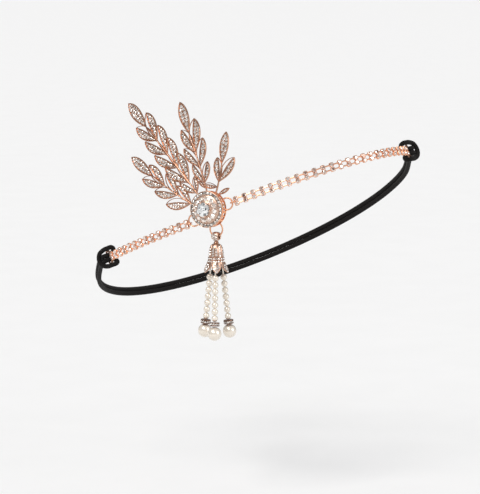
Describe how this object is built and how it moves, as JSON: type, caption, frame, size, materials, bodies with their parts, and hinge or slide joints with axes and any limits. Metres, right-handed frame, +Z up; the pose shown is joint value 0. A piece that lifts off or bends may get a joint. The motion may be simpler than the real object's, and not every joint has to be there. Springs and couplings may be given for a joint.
{
  "type": "pearl tiara headband",
  "caption": "Rose gold forehead headband with a stone-set leaf spray at the right temple, cup chain, a hanging pearl tassel and a black elastic loop",
  "frame": {"origin": "middle of the loop that goes round the head", "axes": "+Z up as worn, -Y to the wearer's front, +X to the wearer's left, the leaf spray at -X"},
  "size_m": [0.166, 0.19, 0.1282],
  "materials": {
    "rose_gold": "polished rose gold plating",
    "crystal": "cut and foiled clear glass",
    "pearl": "pearl coating over moulded beads",
    "black_elastic": "woven cover over a rubber core"
  },
  "bodies": {
    "headband": {"brooch_frame": "rose_gold", "main_stone": "crystal", "ring_front": "rose_gold", "ring_back": "rose_gold", "chain_front": "rose_gold", "chain_back": "rose_gold", "elastic_loop": "black_elastic"},
    "drop_link": {"drop_ring": "rose_gold"},
    "tassel": {"tassel_head": "rose_gold", "pearl_string_1": "pearl", "pearl_string_2": "pearl", "pearl_string_3": "pearl", "rondelle_1": "rose_gold", "rondelle_2": "rose_gold", "rondelle_3": "rose_gold", "large_pearl_1": "pearl", "large_pearl_2": "pearl", "large_pearl_3": "pearl"}
  },
  "joints": [
    {"name": "drop_ring_swing", "type": "hinge", "parent": "headband", "child": "drop_link", "pos_m": [-0.07581, -0.02773, 0.00274], "axis": [-0.995, -0.092, 0.04], "range_deg": [-25, 25]},
    {"name": "tassel_swing", "type": "hinge", "parent": "drop_link", "child": "tassel", "pos_m": [-0.07606, -0.02775, -0.00348], "axis": [0.092, -0.9958, 0], "range_deg": [-80, 60]}
  ]
}
